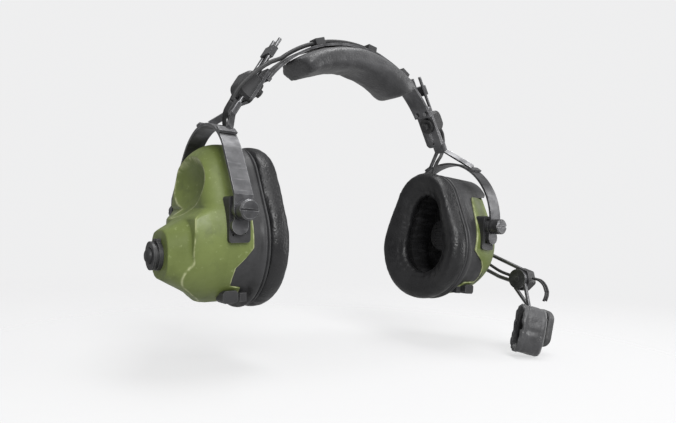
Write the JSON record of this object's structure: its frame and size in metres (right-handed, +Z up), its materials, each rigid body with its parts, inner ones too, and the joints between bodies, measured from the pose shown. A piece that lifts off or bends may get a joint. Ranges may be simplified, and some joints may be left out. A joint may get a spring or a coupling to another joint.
{
  "type": "hearing protection earmuffs",
  "caption": "Headset-style ear defenders with a padded spring headband, sliding yokes, domed ear cups, a crossover cable and a boom microphone.",
  "frame": {"origin": "midway between the two ear cushions, on the line through the ears", "axes": "+X towards the wearer's left ear (boom side), -Y the way the wearer faces, +Z up"},
  "size_m": [0.3122, 0.1462, 0.2343],
  "materials": {
    "black leather": "soft black artificial leather with fine grain",
    "pad leather": "dark grey artificial leather, lightly worn",
    "green shell": "moss green moulded shell, edges worn bright",
    "black plastic": "matt charcoal moulded plastic",
    "dark metal": "dark grey coated steel, worn at the edges",
    "bare steel": "satin steel",
    "rubber": "black rubber",
    "foam": "charcoal open foam"
  },
  "bodies": {
    "headband": {"headband_spring": "dark metal", "headpad": "pad leather", "cable_clips": "black plastic", "band_rivets": "bare steel", "crossover_cable": "rubber", "left_clamp_inner": "dark metal", "left_clamp_outer": "black plastic", "right_clamp_inner": "dark metal", "right_clamp_outer": "black plastic", "left_cable_slack": "rubber", "right_cable_slack": "rubber"},
    "left_screw": {"left_thumb_screw": "black plastic"},
    "left_yoke": {"left_slide_rods": "bare steel", "left_rod_keeper": "dark metal", "left_stirrup_legs": "dark metal", "left_leg_clips": "dark metal", "left_yoke": "dark metal", "left_cable_drop": "rubber"},
    "left_slider": {"left_track_sliders": "dark metal", "left_pivot_screws": "dark metal"},
    "left_cup": {"left_track_plates": "black plastic", "left_dome_shell": "green shell", "left_skirt": "black plastic", "left_cushion": "black leather", "left_foam_liner": "foam", "left_earphone": "black plastic", "left_cable_grommet": "rubber", "left_bottom_clips": "black plastic", "boom_swivel_base": "black plastic"},
    "right_screw": {"right_thumb_screw": "black plastic"},
    "right_yoke": {"right_slide_rods": "bare steel", "right_rod_keeper": "dark metal", "right_stirrup_legs": "dark metal", "right_leg_clips": "dark metal", "right_yoke": "dark metal", "right_cable_drop": "rubber"},
    "right_slider": {"right_track_sliders": "dark metal", "right_pivot_screws": "dark metal"},
    "right_cup": {"right_track_plates": "black plastic", "right_dome_shell": "green shell", "right_skirt": "black plastic", "right_cushion": "black leather", "right_foam_liner": "foam", "right_earphone": "black plastic", "right_cable_grommet": "rubber", "right_bottom_clips": "black plastic", "knob_bezel": "black plastic"},
    "knob": {"volume_knob": "black plastic"},
    "button": {"push_button": "rubber"},
    "boom": {"boom_swivel": "black plastic", "boom_rods": "dark metal", "boom_block": "black plastic", "elbow_screw": "dark metal", "mic_lead_boom": "rubber", "mic_lead_upper": "rubber"},
    "mic_arm": {"mic_arm": "dark metal", "mic_lead_lower": "rubber"},
    "microphone": {"mic_bracket": "dark metal", "mic_body": "black plastic", "mic_muff": "rubber"}
  },
  "joints": [
    {"name": "left_thumb_screw_turn", "type": "hinge", "parent": "headband", "child": "left_screw", "pos_m": [0.07621, 0, 0.089], "axis": [0.866, 0, 0.5], "range_deg": [0, 360]},
    {"name": "left_height_slide", "type": "slide", "parent": "headband", "child": "left_yoke", "axis": [0.5, 0, -0.866], "range_m": [-0.005, 0.012], "deforming": ["left_cable_slack"]},
    {"name": "left_cup_tilt", "type": "hinge", "parent": "left_yoke", "child": "left_slider", "pos_m": [0.1112, 0, 0.0084], "axis": [0, 1, 0], "range_deg": [-8, 8], "deforming": ["left_cable_drop"]},
    {"name": "left_track_slide", "type": "slide", "parent": "left_slider", "child": "left_cup", "axis": [0.0523, 0, 0.9986], "range_m": [-0.004, 0.004]},
    {"name": "right_thumb_screw_turn", "type": "hinge", "parent": "headband", "child": "right_screw", "pos_m": [-0.07621, 0, 0.089], "axis": [-0.866, 0, 0.5], "range_deg": [0, 360]},
    {"name": "right_height_slide", "type": "slide", "parent": "headband", "child": "right_yoke", "axis": [-0.5, 0, -0.866], "range_m": [-0.005, 0.012], "deforming": ["right_cable_slack"]},
    {"name": "right_cup_tilt", "type": "hinge", "parent": "right_yoke", "child": "right_slider", "pos_m": [-0.1112, 0, 0.0084], "axis": [0, 1, 0], "range_deg": [-8, 8], "deforming": ["right_cable_drop"]},
    {"name": "right_track_slide", "type": "slide", "parent": "right_slider", "child": "right_cup", "axis": [-0.0523, 0, 0.9986], "range_m": [-0.004, 0.004]},
    {"name": "volume_turn", "type": "hinge", "parent": "right_cup", "child": "knob", "pos_m": [-0.14446, -0.014, -0.01975], "axis": [-0.9986, 0, -0.0523], "range_deg": [-135, 135]},
    {"name": "button_press", "type": "slide", "parent": "knob", "child": "button", "axis": [0.9986, 0, 0.0523], "range_m": [0, 0.0015], "stiffness_N_per_m": 900},
    {"name": "boom_swing", "type": "hinge", "parent": "left_cup", "child": "boom", "pos_m": [0.15061, 0, -0.01706], "axis": [0.9986, 0, -0.0523], "range_deg": [-95, 25]},
    {"name": "elbow_turn", "type": "hinge", "parent": "boom", "child": "mic_arm", "pos_m": [0.14972, -0.051, -0.03404], "axis": [0.9986, 0, -0.0523], "range_deg": [-40, 40], "deforming": ["mic_lead_upper"]},
    {"name": "mic_tilt", "type": "hinge", "parent": "mic_arm", "child": "microphone", "pos_m": [0.138, -0.066, -0.057], "axis": [0, 1, 0], "range_deg": [-20, 20], "deforming": ["mic_lead_lower"]}
  ]
}
